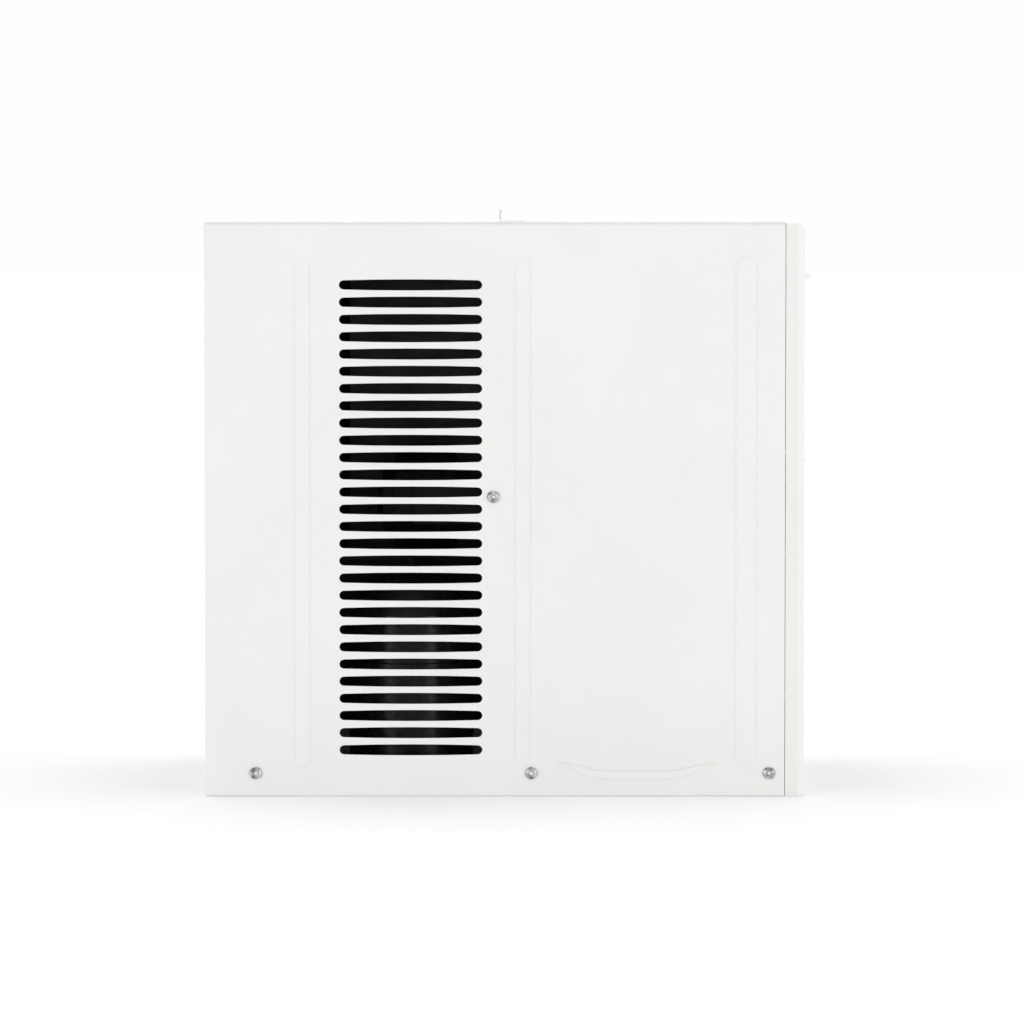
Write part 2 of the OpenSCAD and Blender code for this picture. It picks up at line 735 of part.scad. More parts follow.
// Upright plates with a round hole for each tube
module fins(y, z, n) {
    pitch = 2 * (coil_x - 4) / (fin_count - 1);
    mid = (y[0] + y[1]) / 2;
    color(alu) for (i = [0 : fin_count - 1]) {
        x = -coil_x + 4 + i * pitch;
        along_x(x - 0.5, x + 0.5) difference() {
            rect(y[0], z[0], y[1], z[1]);
            for (v = coil_rows(z, n), s = [-1, 1]) translate([mid + s * row_pitch / 2, v]) circle(tube_r + 0.3);
        }
    }
}

module tubes(y, z, n) {
    mid = (y[0] + y[1]) / 2;
    color(copper) for (v = coil_rows(z, n), s = [-1, 1])
        rod_x(-coil_x - 3, coil_x + 3, mid + s * row_pitch / 2, v, tube_r);
}

module bends(y, z, n) {
    mid = (y[0] + y[1]) / 2;
    rows = coil_rows(z, n);
    color(copper) {
        for (v = rows) mirror([1, 0, 0])
            return_bend([coil_x + 3, mid - row_pitch / 2, v], [coil_x + 3, mid + row_pitch / 2, v], tube_r);
        for (k = [0 : n - 2]) {
            s = k % 2 == 0 ? 1 : -1;
            return_bend([coil_x + 3, mid + s * row_pitch / 2, rows[k]],
                        [coil_x + 3, mid + s * row_pitch / 2, rows[k + 1]], tube_r);
        }
    }
}

module evaporator_fins() { fins(evap_y, evap_z, 8); }
module evaporator_tubes() { tubes(evap_y, evap_z, 8); }
module evaporator_bends() { bends(evap_y, evap_z, 8); }
module condenser_fins() { fins(cond_y, cond_z, 14); }
module condenser_tubes() { tubes(cond_y, cond_z, 14); }
module condenser_bends() { bends(cond_y, cond_z, 14); }

module drip_tray() {
    color("#eceff1") difference() {
        block([-170, evap_y[0] - 2, 2], [170, evap_y[1] + 6, 24]);
        block([-166, evap_y[0] + 2, 10], [166, evap_y[1] + 2, 25]);
    }
}

// ---- Blower ----

// Outline of the scroll and the neck that rises from it, drawn in X and Z
function scroll_r(a) = wheel_r + 12 + a / 238 * 38;
function scroll_line(inset) = concat(
    [for (a = [0 : 12 : 228]) let (r = scroll_r(a) - inset, t = 58 - a) [r * cos(t), fan_z + r * sin(t)]],
    [[-(140 - inset), fan_z], [-(140 - inset), 388 + inset / 2], [-(162 - inset), 404 + inset / 2],
     [-(162 - inset), duct_z[1] - inset], [162 - inset, duct_z[1] - inset], [162 - inset, 404 + inset],
     [70, 381 + inset]]);

module blower_scroll() {
    color("#e9ebec") difference() {
        along_y(scroll_y[0], scroll_y[1]) polygon(scroll_line(0));
        along_y(scroll_y[0] - 1, scroll_y[1] - 3) polygon(scroll_line(4));
        rod_y(scroll_y[0], scroll_y[1] + 1, 0, fan_z, 14);
    }
}

module scroll_front() {
    color("#e9ebec") difference() {
        union() {
            along_y(scroll_y[0] - 2.2, scroll_y[0] - 0.2) polygon(scroll_line(0));
            rod_y(scroll_y[0] - 8, scroll_y[0] - 2, 0, fan_z, wheel_r - 10);
        }
        rod_y(scroll_y[0] - 9, scroll_y[0] + 1, 0, fan_z, wheel_r - 14);
        block([-156, scroll_y[0] - 3, duct_z[0] + 12], [156, scroll_y[0] + 1, duct_z[1] - 6]);
    }
}

// Squirrel-cage wheel: back disc with its hub, forward-curved blades set between them, and front ring
module blower_wheel() {
    y0 = scroll_y[0] + 8;
    y1 = scroll_y[1] - 11;
    seat = 0.05;          // gap at each end of a blade
    color("#3a3d40") {
        difference() {
            union() {
                rod_y(y1 - 2, y1, 0, fan_z, wheel_r);
                rod_y(y1 - 26, y1 - 1.9, 0, fan_z, 15);
            }
            rod_y(y1 - 30, y1 + 1, 0, fan_z, shaft_r + run_gap);
        }
        along_y(y0 + 5 + seat, y1 - 2 - seat) translate([0, fan_z]) for (i = [0 : wheel_blades - 1])
            rotate(i * 360 / wheel_blades) translate([wheel_r - 8, 0]) rotate(38) square([14, 1.6], center = true);
        along_y(y0, y0 + 5) translate([0, fan_z]) difference() {
            circle(wheel_r);
            circle(wheel_r - 15);
        }
    }
}

module fan_shaft() {
    color(zinc) rod_y(scroll_y[1] - 42, 206, 0, fan_z, shaft_r);
}

module fan_motor() {
    color("#2b2e31") difference() {
        union() {
            rod_y(46, 104, 0, fan_z, 50);
            rod_y(34, 47, 0, fan_z, 38);
            rod_y(103, 116, 0, fan_z, 38);
            rod_y(28, 35, 0, fan_z, 13);
            rod_y(115, 122, 0, fan_z, 13);
        }
        rod_y(20, 130, 0, fan_z, shaft_r + run_gap);
    }
}

module motor_bracket() {
    color(zinc) difference() {
        union() {
            block([-70, bulkhead_y[1] + 0.2, fan_z - 60], [70, bulkhead_y[1] + 2.6, fan_z + 60]);
            for (s = [-1, 1]) block([s * 55 - 3, bulkhead_y[1] + 2.5, fan_z - 20], [s * 55 + 3, 86, fan_z + 20]);
            rod_y(62, 86, 0, fan_z, 54);
        }
        rod_y(0, 10, 0, fan_z, 16);
        rod_y(30, 120, 0, fan_z, 50.2);
    }
}

module bulkhead() {
    color(zinc) difference() {
        union() {
            block([-half_w + 3.2, bulkhead_y[0], 2], [half_w - 3.2, bulkhead_y[1], body_h - 2]);
            for (s = [-1, 1]) block([vent_x + s * 23 - 1, -4, vent_hinge_z - 5], [vent_x + s * 23 + 1, 0.1, vent_hinge_z + 5]);
        }
        rod_y(-1, 4, 0, fan_z, 14);
        block([vent_x - 18, -1, vent_hinge_z - 47], [vent_x + 18, 4, vent_hinge_z - 3]);
        rod_y(-1, 4, 178, 172, 7);
        rod_y(-1, 4, 181, 33.5, 4);
        rod_x(vent_x - 30, vent_x + 30, -1.9, vent_hinge_z, 1.2 + run_gap);
    }
}

// ---- Vent ----

// Pull knob, push rod and the disc that lifts the vent door
module vent_pull() {
    color(moulded) union() {
        rod_y(knob_y - 1, y_face + 0.6, vent_x, control_z, 7);
        rod_y(y_face, 2.6, vent_x, control_z, 2);
        rod_y(1.2, 2.6, vent_x, control_z, 4);
    }
}

module vent_door() {
    color(zinc) difference() {
        union() {
            block([vent_x - 21, -2.6, vent_hinge_z - 50], [vent_x + 21, -1.2, vent_hinge_z]);
            rod_x(vent_x - 23.6, vent_x + 23.6, -1.9, vent_hinge_z, 1.2);
        }
        along_y(-4, 1) stadium(vent_x, control_z - 10, control_z + 5, 5.4);
    }
}

// ---- Outdoor fan ----

module condenser_fan() {
    blades = 5;
    y = [166, 200];
    color("#303336") difference() {
        union() {
            rod_y(y[0], y[1], 0, fan_z, 30);
            intersection() {
                for (i = [0 : blades - 1]) translate([0, (y[0] + y[1]) / 2, fan_z])
                    rotate([0, i * 360 / blades, 0]) translate([fan_r / 2 + 8, 0, 0]) rotate([28, 0, 0])
                        cube([fan_r, 2.6, 74], center = true);
                rod_y(y[0], y[1], 0, fan_z, fan_r - 1);
            }
            difference() {
                rod_y(y[1] - 7, y[1], 0, fan_z, fan_r);
                rod_y(y[1] - 8, y[1] + 1, 0, fan_z, fan_r - 3);
            }
        }
        rod_y(y[0] - 1, y[1] + 1, 0, fan_z, shaft_r + run_gap);
    }
}

module fan_shroud() {
    color(zinc) difference() {
        union() {
            block([-half_w + 3.4, shroud_y[0], 4], [half_w - 3.4, shroud_y[1], body_h - 6]);
            rod_y(186, shroud_y[0] + 1, 0, fan_z, fan_r + 7);
        }
        rod_y(180, shroud_y[1] + 1, 0, fan_z, fan_r + 5);
        rod_y(shroud_y[0] - 1, shroud_y[1] + 1, 178, 488.5, 6);
        rod_y(shroud_y[0] - 1, shroud_y[1] + 1, 181, 33.5, 4);
    }
}

// ---- Compressor ----

module compressor() {
    color(black) {
        translate([comp[0], comp[1], comp_z[0]]) rotate_extrude() polygon(concat(
            [[0, 0], [compressor_r - 6, 0], [compressor_r, 6], [compressor_r, 92], [compressor_r + 2.5, 93],
             [compressor_r + 2.5, 98], [compressor_r, 99]],
            [for (a = [0 : 10 : 90]) [compressor_r * cos(a), 134 + 50 * sin(a)]]));
        translate([comp[0], comp[1], comp_z[0] - 3]) difference() {
            linear_extrude(3) for (a = [90, 210, 330]) rotate(a) {
                rect(0, -14, 66, 14);
                translate([66, 0]) circle(14);
            }
            for (a = [90, 210, 330]) rotate(a) translate([66, 0, -1]) cylinder(h = 6, r = 4.4);
        }
    }
}

module accumulator() {
    color(black) {
        translate([acc[0], acc[1], 44]) cylinder(h = 100, r = 21);
        translate([acc[0], acc[1], 144]) cylinder(h = 10, r1 = 21, r2 = 6);
        translate([acc[0], acc[1], 36]) cylinder(h = 8, r1 = 6, r2 = 21);
    }
}

module compressor_grommets() {
    color("#26282a") for (a = [90, 210, 330])
        translate([comp[0], comp[1], sheet]) rotate(a) translate([66, 0, 0]) difference() {
            cylinder(h = comp_z[0] - 3 - sheet, r = 11);
            translate([0, 0, -1]) cylinder(h = 30, r = 4.2);
        }
}

module compressor_bolts() {
    color(zinc) for (a = [90, 210, 330])
        translate([comp[0], comp[1], sheet]) rotate(a) translate([66, 0, 0]) {
            cylinder(h = comp_z[0] - sheet, r = 4);
            translate([0, 0, comp_z[0] - sheet]) cylinder(h = 6, r = 8, $fn = 6);
        }
}

// Hot gas, suction and capillary lines
module refrigerant_pipes() {
    color(copper) {
        swept(rounded([[-95, 88, 205.2], [-95, 88, 216], [-95, 157, 216], [150, 157, 216], [178, 157, 260],
                       [178, 157, 488.5], [178, 235, 488.5], [161.2, 235, 488.5]], 9), 4);
        swept(rounded([[-18, 60, 154.2], [-18, 60, 172], [-18, 18, 172], [178, 18, 172], [178, -204, 172],
                       [178, -204, 297], [178, -244, 297], [178, -244, 275.4], [161.2, -244, 275.4]], 10), 4.6);
        swept(rounded([[161.2, 235, 33.5], [181, 235, 33.5], [181, -200, 33.5],
                       [181, -244, 42.6], [161.2, -244, 42.6]], 8), 2, 8);
    }
}

base_pan();
cabinet_wrapper();
top_rail();
rear_guard();
cabinet_screws();
rail_screws();
front_bezel();
control_panel();
intake_grille();
grille_hinge_pins();
filter_frame();
filter_mesh();
mode_knob();
thermostat_knob();
mode_shaft();
thermostat_shaft();
mode_switch();
thermostat_body();
control_box();
run_capacitor();
vane_1();
vane_2();
vane_3();
vane_4();
vane_link();
deflector_1();
deflector_2();
deflector_3();
deflector_4();
deflector_5();
deflector_6();
deflector_link();
discharge_duct();
heater_frame();
heater_element();
thermal_cutout();
evaporator_fins();
evaporator_tubes();
evaporator_bends();
drip_tray();
blower_scroll();
scroll_front();
blower_wheel();
fan_shaft();
fan_motor();
motor_bracket();
bulkhead();
condenser_fan();
fan_shroud();
condenser_fins();
condenser_tubes();
condenser_bends();
compressor();
accumulator();
compressor_grommets();
compressor_bolts();
refrigerant_pipes();
vent_pull();
vent_door();
cord_bushing();
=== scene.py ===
"""Looks of the window-mounted heat-and-cool room unit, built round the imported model."""
import json
import math

import bmesh
import bpy
from mathutils import Matrix, Vector


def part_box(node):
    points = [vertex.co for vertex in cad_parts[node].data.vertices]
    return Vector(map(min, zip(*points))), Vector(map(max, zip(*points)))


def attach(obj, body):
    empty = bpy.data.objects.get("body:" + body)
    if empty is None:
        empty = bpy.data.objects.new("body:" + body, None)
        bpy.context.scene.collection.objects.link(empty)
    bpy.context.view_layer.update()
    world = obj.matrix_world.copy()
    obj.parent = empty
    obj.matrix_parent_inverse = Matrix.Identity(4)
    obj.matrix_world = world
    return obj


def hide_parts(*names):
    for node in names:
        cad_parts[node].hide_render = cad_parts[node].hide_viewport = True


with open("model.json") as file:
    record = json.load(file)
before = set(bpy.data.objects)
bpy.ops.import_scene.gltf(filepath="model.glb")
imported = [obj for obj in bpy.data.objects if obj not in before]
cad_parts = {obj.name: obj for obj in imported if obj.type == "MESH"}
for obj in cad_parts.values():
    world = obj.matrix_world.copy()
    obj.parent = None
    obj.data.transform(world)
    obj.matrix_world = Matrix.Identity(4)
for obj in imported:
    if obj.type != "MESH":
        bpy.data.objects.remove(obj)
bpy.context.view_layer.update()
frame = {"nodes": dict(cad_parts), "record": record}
NODES = frame["nodes"]
BODY = {n: b for b, names in frame["record"]["behaviour"]["bodies"].items() for n in names}
SLOT = {s["node"]: s["material_slot"] for s in frame["record"]["subparts"]}
scene = bpy.context.scene


# ---------------------------------------------------------------- node helpers

class Shader:
    """A material under construction: a principled shader and the nodes that feed it."""

    def __init__(self, name, color, rough, metal=0.0, **constants):
        self.m = bpy.data.materials.new(name)
        self.m.use_nodes = True
        self.t = self.m.node_tree
        self.t.nodes.clear()
        out = self.t.nodes.new("ShaderNodeOutputMaterial")
        self.b = self.t.nodes.new("ShaderNodeBsdfPrincipled")
        self.t.links.new(self.b.outputs[0], out.inputs[0])
        self.b.inputs["Base Color"].default_value = (*color, 1)
        self.b.inputs["Roughness"].default_value = rough
        self.b.inputs["Metallic"].default_value = metal
        for k, v in constants.items():
            self.b.inputs[k.replace("_", " ")].default_value = v
        self.color = color
        self.m.diffuse_color = (*color, 1)
        tex = self.node("ShaderNodeTexCoord")
        self.co = tex.outputs["Object"]
        self.facing = tex.outputs["Normal"]
        self.height = None

    def node(self, kind, **props):
        n = self.t.nodes.new(kind)
        for k, v in props.items():
            setattr(n, k, v)
        return n

    def link(self, a, b):
        self.t.links.new(a, b)

    def math(self, op, a, b=None, clamp=False):
        n = self.node("ShaderNodeMath", operation=op, use_clamp=clamp)
        for i, v in enumerate((a, b)):
            if v is None:
                continue
            if isinstance(v, (int, float)):
                n.inputs[i].default_value = v
            else:
                self.link(v, n.inputs[i])
        return n.outputs[0]

    def stretched(self, scale):
        n = self.node("ShaderNodeMapping")
        n.inputs["Scale"].default_value = scale
        self.link(self.co, n.inputs["Vector"])
        return n.outputs[0]

    def noise(self, scale, detail=2.0, rough=0.5, at=None):
        n = self.node("ShaderNodeTexNoise")
        n.inputs["Scale"].default_value = scale
        n.inputs["Detail"].default_value = detail
        n.inputs["Roughness"].default_value = rough
        self.link(at or self.co, n.inputs["Vector"])
        return n.outputs["Fac"]

    def voronoi(self, scale, feature="F1", out="Distance", at=None):
        n = self.node("ShaderNodeTexVoronoi", feature=feature)
        n.inputs["Scale"].default_value = scale
        self.link(at or self.co, n.inputs["Vector"])
        return n.outputs[out]

    def span(self, value, lo, hi, out_lo, out_hi):
        n = self.node("ShaderNodeMapRange")
        for i, v in enumerate((lo, hi, out_lo, out_hi)):
            n.inputs[i + 1].default_value = v
        self.link(value, n.inputs[0])
        return n.outputs[0]

    def mix(self, fac, a, b):
        n = self.node("ShaderNodeMix", data_type="RGBA")
        for sock, v in ((n.inputs[0], fac), (n.inputs[6], a), (n.inputs[7], b)):
            if isinstance(v, (int, float)):
                sock.default_value = v
            elif isinstance(v, tuple):
                sock.default_value = (*v, 1)
            else:
                self.link(v, sock)
        return n.outputs[2]

    def shade(self, amount, value, lo=0.3, hi=0.7):
        """Varies the base colour's brightness by about amount with a grey pattern."""
        dark = tuple(c * (1 - amount) for c in self.color)
        light = tuple(min(1.0, c * (1 + amount * 0.5)) for c in self.color)
        return self.mix(self.span(value, lo, hi, 0, 1), dark, light)

    def to_color(self, socket):
        self.link(socket, self.b.inputs["Base Color"])
        return self

    def to_rough(self, value, lo, hi, at_lo=0.3, at_hi=0.7):
        self.link(self.span(value, at_lo, at_hi, lo, hi), self.b.inputs["Roughness"])
        return self

    def bump(self, value, depth, strength=1.0):
        n = self.node("ShaderNodeBump")
        n.inputs["Strength"].default_value = strength
        n.inputs["Distance"].default_value = depth
        self.link(value, n.inputs["Height"])
        if self.height is not None:
            self.link(self.height, n.inputs["Normal"])
        self.height = n.outputs[0]
        self.link(self.height, self.b.inputs["Normal"])
        return self

    def split(self, vector):
        n = self.node("ShaderNodeSeparateXYZ")
        self.link(vector, n.inputs[0])
        return n.outputs


# ---------------------------------------------------------------- materials

# Outer faces of the folded sheet, the radius of its top folds and the outside of its rear flange
SHELL_X, SHELL_Z, SHELL_R, FLANGE_Y = 0.190, 0.530, 0.004, 0.2728
SKIN = 0.0006            # how deep the outside's paint reaches into the sheet
LEAN_SHADE_RATE = 0.34        # how fast the side is painted darker, as painted shade, where the press has bent it
LEAN_SHADE_MOST = 0.18        # and how dark that painted shade gets at most
RIM_Z = 0.0004           # top of the painted shade along the bottom edge
RIM_SHADE = 0.35
BLACK = (0, 0, 0)


def cabinet_paint():
    s = Shader("cabinet_paint", (0.710, 0.710, 0.697), 0.42, Specular_IOR_Level=0.45)
    s.to_rough(s.noise(38, 3), 0.36, 0.5)
    s.bump(s.noise(520, 2), 0.00009, 0.55)
    s.bump(s.noise(6.5, 1), 0.0006, 0.25)

    # Distance from the middle line of the top folds: what is inside it is the inner side, painted
    # near-black as painted shade inside the cabinet
    x, y, z = s.split(s.co)
    across = s.math("MAXIMUM", s.math("SUBTRACT", s.math("ABSOLUTE", x), SHELL_X - SHELL_R), 0)
    up = s.math("MAXIMUM", s.math("SUBTRACT", z, SHELL_Z - SHELL_R), 0)
    out = s.math("SQRT", s.math("ADD", s.math("MULTIPLY", across, across), s.math("MULTIPLY", up, up)))
    within = s.math("LESS_THAN", out, SHELL_R - SKIN)
    inner = s.math("MULTIPLY", within, s.math("LESS_THAN", y, FLANGE_Y - SKIN))

    # Painted shade: a side is painted darker where its surface leans away from straight across, as at
    # the pressed beads and the top folds, and along the bottom edge
    flat = s.split(s.facing)[0]
    lean = s.math("SUBTRACT", 1.0, s.math("MULTIPLY", flat, flat))
    tarnish_and_painted_shade = s.math("MINIMUM", s.math("MULTIPLY", lean, LEAN_SHADE_RATE), LEAN_SHADE_MOST)
    on_side = s.math("GREATER_THAN", across, 0.0002)
    # painted shade along the bottom edge
    rim_shade = s.math("MULTIPLY", s.math("LESS_THAN", z, RIM_Z), RIM_SHADE)
    outside = s.shade(0.025, s.noise(7, 4, 0.6))
    outside = s.mix(s.math("MAXIMUM", s.math("MULTIPLY", tarnish_and_painted_shade, on_side), rim_shade), outside, BLACK)
    # painted shade: the inner side is near-black
    inside_painted_shade = s.mix(s.noise(90, 3), (0.008, 0.0085, 0.009), (0.016, 0.017, 0.018))
    s.to_color(s.mix(inner, outside, inside_painted_shade))
    return s.m


RAIL_FOOT_TOP = 0.5325   # above this the sash angle's upstand is painted darker, as painted shade


def rail_paint():
    s = Shader("rail_paint", (0.775, 0.775, 0.765), 0.4)
    foot = s.shade(0.02, s.noise(12, 4))
    upstand = s.math("GREATER_THAN", s.split(s.co)[2], RAIL_FOOT_TOP)
    # painted shade on the upstand
    s.to_color(s.mix(upstand, foot, (0.60, 0.60, 0.59)))
    s.to_rough(s.noise(60, 3), 0.34, 0.5)
    s.bump(s.noise(520, 2), 0.00008, 0.5)
    return s.m


BEZEL_FRONT = -0.2774    # the left-facing ends of tabs and lips in front of this get a painted highlight and painted light
TAB_BOTTOM = 0.4         # the vane's thin tab is above this and gets the stronger painted light
LIP_PAINTED_LIGHT = (0.07, 0.07, 0.069)
TAB_PAINTED_LIGHT = (0.17, 0.17, 0.168)
FOOT_SHADE = 0.006       # below this the moulding's faces that look down get painted shade


def moulded_white():
    s = Shader("moulded_white", (0.702, 0.703, 0.686), 0.46, Specular_IOR_Level=0.42,
               Emission_Strength=1)
    _, y, z = s.split(s.co)
    leftward, _, upward = s.split(s.facing)
    # painted highlight and painted light: the left-facing ends of tabs and lips get a whiter colour and
    # an emission, though they are no lamp
    painted_lit_ends = s.math("MULTIPLY", s.math("LESS_THAN", y, BEZEL_FRONT), s.math("LESS_THAN", leftward, -0.5))
    # painted shade on faces that look down, near the floor
    facing_down_shade = s.math("MULTIPLY", upward, -0.6, clamp=True)
    painted_foot_shade = s.math("MULTIPLY", s.math("LESS_THAN", z, FOOT_SHADE), facing_down_shade)
    face = s.mix(painted_foot_shade, s.shade(0.018, s.noise(9, 3)), BLACK)
    s.to_color(s.mix(painted_lit_ends, face, (0.85, 0.85, 0.84)))
    painted_light = s.mix(s.math("GREATER_THAN", z, TAB_BOTTOM), LIP_PAINTED_LIGHT, TAB_PAINTED_LIGHT)
    s.link(s.mix(painted_lit_ends, BLACK, painted_light), s.b.inputs["Emission Color"])
    s.to_rough(s.noise(150, 2), 0.42, 0.54)
    s.bump(s.voronoi(1500), 0.00005, 0.6)
    s.bump(s.noise(14, 1), 0.0003, 0.2)
    return s.m


def knob_plastic():
    s = Shader("knob_plastic", (0.62, 0.625, 0.62), 0.34)
    s.to_color(s.shade(0.05, s.noise(40, 3)))
    s.to_rough(s.noise(220, 2), 0.3, 0.42)
    s.bump(s.noise(900, 2), 0.00004, 0.6)
    return s.m


def galvanised():
    s = Shader("galvanised", (0.55, 0.56, 0.565), 0.42, 0.85)
    cells = s.voronoi(95, out="Color")
    grey = s.node("ShaderNodeSeparateColor")
    s.link(cells, grey.inputs[0])
    s.to_color(s.shade(0.22, grey.outputs[0], 0, 1))
    s.to_rough(grey.outputs[1], 0.3, 0.52, 0, 1)
    s.bump(s.voronoi(95, "DISTANCE_TO_EDGE"), 0.00006, 0.3)
    s.bump(s.noise(700, 2), 0.00003, 0.4)
    return s.m


def screw_zinc():
    s = Shader("screw_zinc", (0.40, 0.403, 0.406), 0.38, 0.85)
    # painted highlight: the cross recess is near-white, through the mesh's recess attribute
    painted_recess_glint = s.node("ShaderNodeAttribute", attribute_name="recess").outputs["Fac"]
    s.to_color(s.mix(painted_recess_glint, s.shade(0.62, s.noise(230, 3), 0.36, 0.6), (0.97, 0.97, 0.96)))
    s.to_rough(s.noise(500, 3), 0.26, 0.48)
    s.bump(s.noise(1600, 2), 0.00003, 0.5)
    return s.m


def shaft_steel():
    s = Shader("shaft_steel", (0.50, 0.505, 0.51), 0.3, 1.0)
    rings = s.noise(900, 2, at=s.stretched((0.15, 1, 0.15)))
    s.to_color(s.shade(0.15, rings))
    s.to_rough(rings, 0.22, 0.4)
    s.bump(rings, 0.00003, 0.4)
    return s.m


def filter_plastic():
    s = Shader("filter_plastic", (0.50, 0.55, 0.575), 0.5)
    s.to_color(s.shade(0.05, s.noise(25, 3)))
    s.to_rough(s.noise(180, 2), 0.44, 0.6)
    s.bump(s.noise(1200, 2), 0.00004, 0.6)
    return s.m


def filter_net():
    s = Shader("filter_net", (0.035, 0.038, 0.042), 0.62, Sheen_Weight=0.15)
    s.to_color(s.shade(0.4, s.noise(300, 3)))
    s.to_rough(s.noise(800, 2), 0.52, 0.72)
    s.bump(s.noise(2600, 2), 0.00005, 0.7)
    return s.m


def foam_liner():
    s = Shader("foam_liner", (0.74, 0.75, 0.74), 0.7)
    beads = s.voronoi(330, "SMOOTH_F1")
    s.to_color(s.shade(0.09, beads, 0.0, 0.8))
    s.to_rough(s.noise(90, 2), 0.62, 0.8)
    s.bump(beads, 0.0003, 0.5)
    return s.m


def fan_plastic():
    s = Shader("fan_plastic", (0.018, 0.019, 0.021), 0.42)
    s.to_color(s.shade(0.5, s.noise(60, 4)))
    s.to_rough(s.noise(140, 3), 0.34, 0.55)
    s.bump(s.noise(900, 2), 0.00006, 0.5)
    return s.m


def motor_enamel():
    s = Shader("motor_enamel", (0.009, 0.0095, 0.010), 0.42, Specular_IOR_Level=0.12)
    s.to_color(s.shade(0.5, s.noise(45, 4)))
    s.to_rough(s.noise(260, 3), 0.24, 0.46)
    s.bump(s.noise(430, 2), 0.0001, 0.5)
    return s.m


def compressor_enamel():
    s = Shader("compressor_enamel", (0.008, 0.0085, 0.009), 0.40, Specular_IOR_Level=0.14)
    s.to_color(s.shade(0.6, s.noise(30, 4)))
    s.to_rough(s.noise(120, 3), 0.2, 0.42)
    s.bump(s.noise(300, 2), 0.00012, 0.5)
    return s.m


def fin_aluminium():
    s = Shader("fin_aluminium", (0.62, 0.63, 0.64), 0.38, 0.9)
    brushed = s.noise(420, 3, at=s.stretched((1, 1, 0.05)))
    s.to_color(s.shade(0.2, brushed))
    s.to_rough(brushed, 0.3, 0.5)
    s.bump(brushed, 0.00005, 0.5)
    return s.m


def copper_tube():
    s = Shader("copper_tube", (0.56, 0.245, 0.125), 0.36, 1.0)
    tarnish_and_painted_shade = s.noise(55, 4, 0.65)
    s.to_color(s.mix(s.span(tarnish_and_painted_shade, 0.35, 0.7, 0, 1), (0.60, 0.27, 0.14), (0.27, 0.115, 0.065)))
    s.to_rough(tarnish_and_painted_shade, 0.28, 0.52)
    s.bump(s.noise(700, 2), 0.00005, 0.4)
    return s.m


def mica():
    s = Shader("mica", (0.42, 0.33, 0.2), 0.48)
    flakes = s.voronoi(160, out="Color")
    grey = s.node("ShaderNodeSeparateColor")
    s.link(flakes, grey.inputs[0])
    s.to_color(s.shade(0.3, grey.outputs[0], 0, 1))
    s.to_rough(grey.outputs[1], 0.36, 0.6, 0, 1)
    s.bump(s.voronoi(160), 0.0001, 0.4)
    return s.m


def element_sheath():
    s = Shader("element_sheath", (0.055, 0.048, 0.045), 0.45, 0.75)
    heat = s.noise(32, 4, 0.6)
    s.to_color(s.mix(s.span(heat, 0.35, 0.7, 0, 1), (0.05, 0.045, 0.045), (0.13, 0.085, 0.06)))
    s.to_rough(heat, 0.36, 0.6)
    s.bump(s.noise(900, 2), 0.00006, 0.5)
    return s.m


def switch_phenolic():
    s = Shader("switch_phenolic", (0.40, 0.34, 0.22), 0.44)
    s.to_color(s.shade(0.14, s.noise(220, 3)))
    s.to_rough(s.noise(300, 2), 0.36, 0.54)
    s.bump(s.noise(900, 2), 0.00006, 0.5)
    return s.m


def capacitor_case():
    s = Shader("capacitor_case", (0.5, 0.51, 0.52), 0.3, 1.0)
    drawn = s.noise(500, 2, at=s.stretched((0.06, 1, 1)))
    s.to_color(s.shade(0.16, drawn))
    s.to_rough(drawn, 0.22, 0.4)
    s.bump(drawn, 0.00003, 0.5)
    return s.m


def black_rubber():
    s = Shader("black_rubber", (0.016, 0.016, 0.017), 0.66, Specular_IOR_Level=0.3)
    s.to_color(s.shade(0.4, s.noise(90, 3)))
    s.to_rough(s.noise(300, 2), 0.58, 0.78)
    s.bump(s.noise(1100, 2), 0.00008, 0.6)
    return s.m


def pipe_foam():
    s = Shader("pipe_foam", (0.010, 0.010, 0.0105), 0.85, Specular_IOR_Level=0.1)
    cells = s.voronoi(900)
    s.to_color(s.shade(0.4, cells, 0.1, 0.6))
    s.to_rough(s.noise(200, 2), 0.78, 0.92)
    s.bump(cells, 0.00015, 0.6)
    return s.m


def print_ink():
    s = Shader("print_ink", (0.06, 0.065, 0.07), 0.5)
    s.to_color(s.shade(0.2, s.noise(900, 2)))
    s.to_rough(s.noise(1400, 2), 0.44, 0.6)
    s.bump(s.noise(2400, 1), 0.00001, 0.4)
    return s.m


MATERIALS = {f.__name__: f() for f in (
    cabinet_paint, moulded_white, knob_plastic, galvanised, screw_zinc, shaft_steel, filter_plastic,
    filter_net, foam_liner, fan_plastic, motor_enamel, compressor_enamel, fin_aluminium, copper_tube,
    mica, element_sheath, switch_phenolic, capacitor_case, black_rubber, pipe_foam)}
RAIL = rail_paint()
INK = print_ink()

for name, obj in NODES.items():
    material = RAIL if name in ("top_rail", "rear_guard") else MATERIALS[SLOT[name]]
    if not obj.material_slots:
        obj.data.materials.append(material)
    for s in obj.material_slots:
        s.material = material


# ---------------------------------------------------------------- mesh helpers

def piece(name, mesh, body, material):
    obj = bpy.data.objects.new(name, mesh)
    scene.collection.objects.link(obj)
    mesh.materials.clear()
    mesh.materials.append(material)
    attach(obj, body)
    return obj


def smooth_by_angle(mesh, degrees):
    """Smooth shading, with edges over that many degrees kept sharp."""
    for p in mesh.polygons:
        p.use_smooth = True
    mesh.set_sharp_from_angle(angle=math.radians(degrees))


SAME_POINT = 2e-6        # vertices closer than this are one


def bake(obj):
    """Turns an object's modifiers into its mesh."""
    view = bpy.context.evaluated_depsgraph_get()
    done = bpy.data.meshes.new_from_object(obj.evaluated_get(view))
    obj.modifiers.clear()
    obj.data = done


